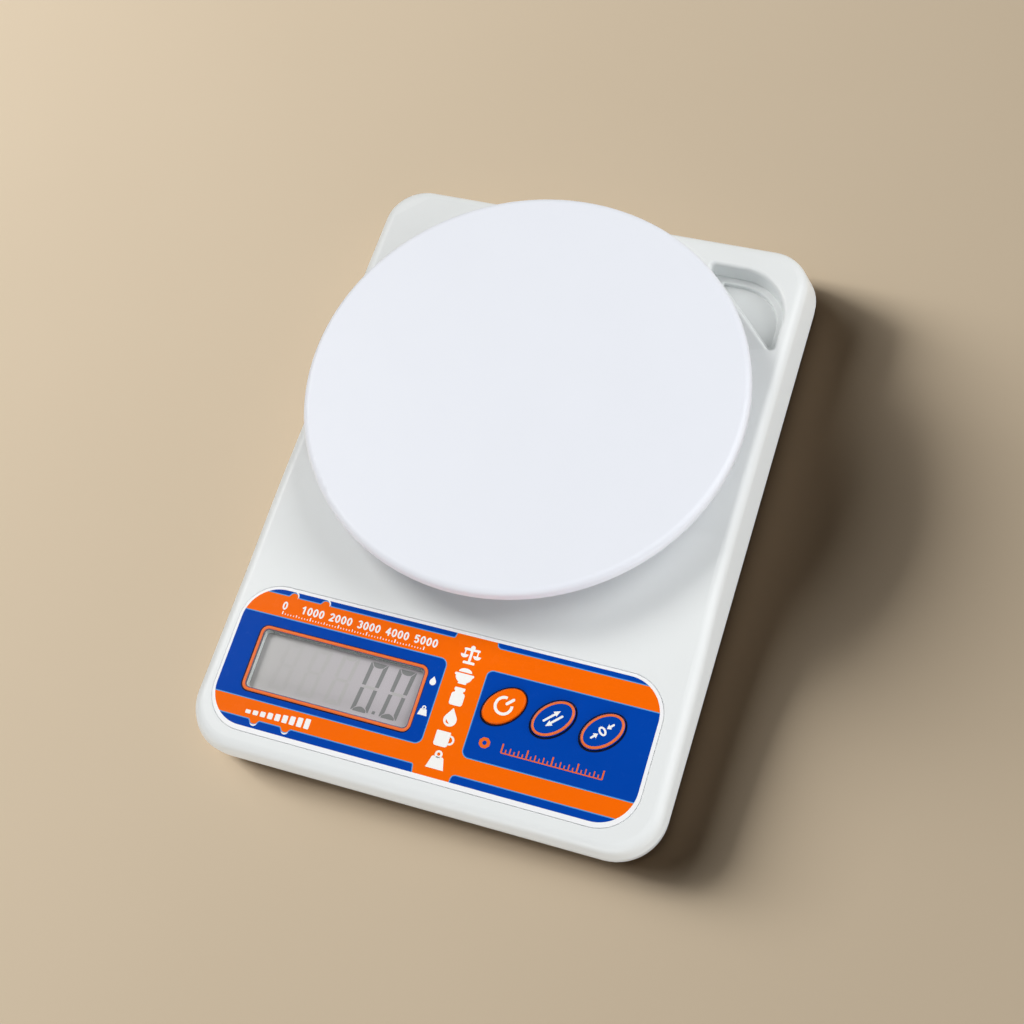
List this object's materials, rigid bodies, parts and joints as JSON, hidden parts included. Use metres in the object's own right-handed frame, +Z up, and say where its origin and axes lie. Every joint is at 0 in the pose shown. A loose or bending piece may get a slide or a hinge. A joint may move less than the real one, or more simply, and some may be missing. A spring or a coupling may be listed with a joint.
{
  "type": "digital gram scale",
  "caption": "Flat battery-powered digital gram scale with a round weighing tray, a sloping control panel with display and keys, and a finger recess in one corner.",
  "frame": {"origin": "bottom centre of the object box, on the surface that the feet stand on", "axes": "+X right, +Y to the rear (the control panel is at -Y), +Z up"},
  "size_m": [0.163, 0.2222, 0.036],
  "materials": {
    "housing_plastic": "satin moulded",
    "tray_plastic": "satin moulded",
    "foot_rubber": "matte",
    "screw_steel": "zinc plated",
    "cell_aluminium": "milled",
    "sealant": "cured silicone",
    "overlay_print": "printed polycarbonate",
    "display_clear": "clear polycarbonate",
    "lcd_grey": "reflective liquid crystal panel",
    "frame_plastic": "moulded",
    "elastomer": "layered elastomer",
    "board_green": "solder mask",
    "blob_black": "cured epoxy",
    "switch_black": "moulded",
    "button_orange": "moulded",
    "button_blue": "moulded",
    "cell_jacket": "shrink jacket",
    "contact_nickel": "nickel plated",
    "lead_red": "soft insulation",
    "lead_black": "soft insulation",
    "lead_white": "soft insulation",
    "lead_green": "soft insulation"
  },
  "bodies": {
    "housing": {"battery_cells": "cell_jacket", "battery_lead_black": "lead_black", "battery_lead_red": "lead_red", "battery_link_contact": "contact_nickel", "battery_negative_contact": "contact_nickel", "battery_positive_contact": "contact_nickel", "board_screws": "screw_steel", "bottom_shell": "housing_plastic", "button_switches": "switch_black", "case_screws": "screw_steel", "controller_blob": "blob_black", "display_lens": "display_clear", "elastomer_strips": "elastomer", "gauge_sealant": "sealant", "lcd_frame": "frame_plastic", "lcd_glass": "lcd_grey", "load_cell": "cell_aluminium", "load_cell_base_screws": "screw_steel", "load_cell_lead_black": "lead_black", "load_cell_lead_green": "lead_green", "load_cell_lead_red": "lead_red", "load_cell_lead_white": "lead_white", "main_board": "board_green", "panel_overlay": "overlay_print", "rubber_feet": "foot_rubber", "top_shell": "housing_plastic"},
    "weighing_platform": {"tray": "tray_plastic", "tray_support": "housing_plastic", "support_screws": "screw_steel"},
    "battery_door": {"battery_door": "housing_plastic"},
    "power_key": {"power_button": "button_orange", "power_switch_plunger": "switch_black"},
    "unit_key": {"unit_button": "button_blue", "unit_switch_plunger": "switch_black"},
    "tare_key": {"tare_button": "button_blue", "tare_switch_plunger": "switch_black"}
  },
  "joints": [
    {"name": "platform_deflection", "type": "slide", "parent": "housing", "child": "weighing_platform", "axis": [0, 0, -1], "range_m": [0, 0.0008], "stiffness_N_per_m": 62000, "deforming": ["load_cell"]},
    {"name": "power_press", "type": "slide", "parent": "housing", "child": "power_key", "axis": [0, 0.0499, -0.9988], "range_m": [0, 0.0005], "stiffness_N_per_m": 3000},
    {"name": "unit_press", "type": "slide", "parent": "housing", "child": "unit_key", "axis": [0, 0.0499, -0.9988], "range_m": [0, 0.0005], "stiffness_N_per_m": 3000},
    {"name": "tare_press", "type": "slide", "parent": "housing", "child": "tare_key", "axis": [0, 0.0499, -0.9988], "range_m": [0, 0.0005], "stiffness_N_per_m": 3000},
    {"name": "battery_door_hinge", "type": "hinge", "parent": "housing", "child": "battery_door", "pos_m": [0, 0.0806, 0.0025], "axis": [1, 0, 0], "range_deg": [0, 80]}
  ]
}
